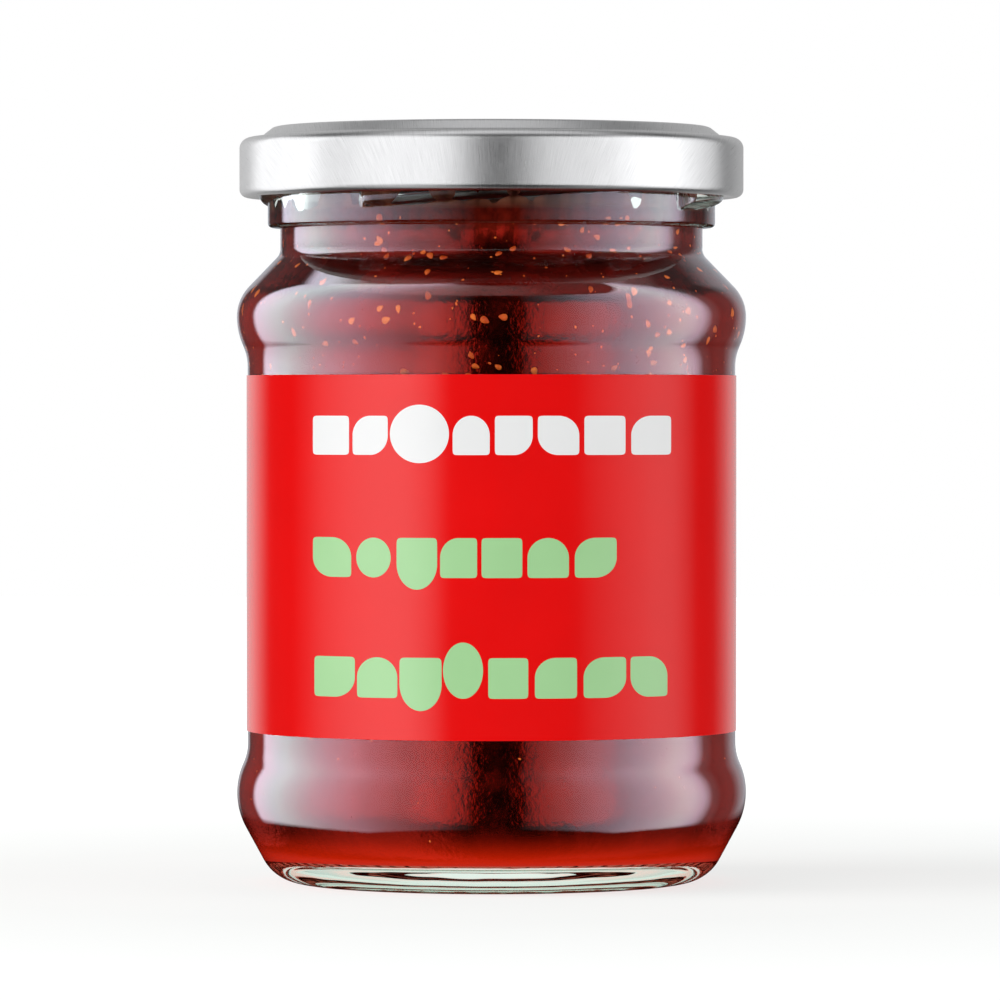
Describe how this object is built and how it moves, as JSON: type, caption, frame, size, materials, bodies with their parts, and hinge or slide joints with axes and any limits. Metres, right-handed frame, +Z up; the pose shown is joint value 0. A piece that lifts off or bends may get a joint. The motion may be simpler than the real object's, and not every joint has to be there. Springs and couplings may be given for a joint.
{
  "type": "jam jar",
  "caption": "Shut round glass jar of red jam: bulged shoulder and heel, straight waist with a wrap-round paper label, and a metal twist-off lid.",
  "frame": {"origin": "middle of the face that the jar stands on, on the jar's axis", "axes": "+Z up along the jar's axis; -Y is the front, where the label's print is centred and the first thread starts; +X to the right of the front"},
  "size_m": [0.071, 0.071, 0.1053],
  "materials": {
    "glass": "clear, smooth, moulded",
    "jam": "dark red translucent jelly with pale seeds and pieces of fruit, stood in by gloss plastic",
    "label": "glossy red paper with plain white and pale green bars",
    "lid": "brushed silver tinplate, lacquered",
    "print_white": "white print",
    "print_green": "pale green print"
  },
  "bodies": {
    "root": {"jar": "glass", "jam": "jam", "label": "label", "lid": "lid"}
  },
  "joints": []
}
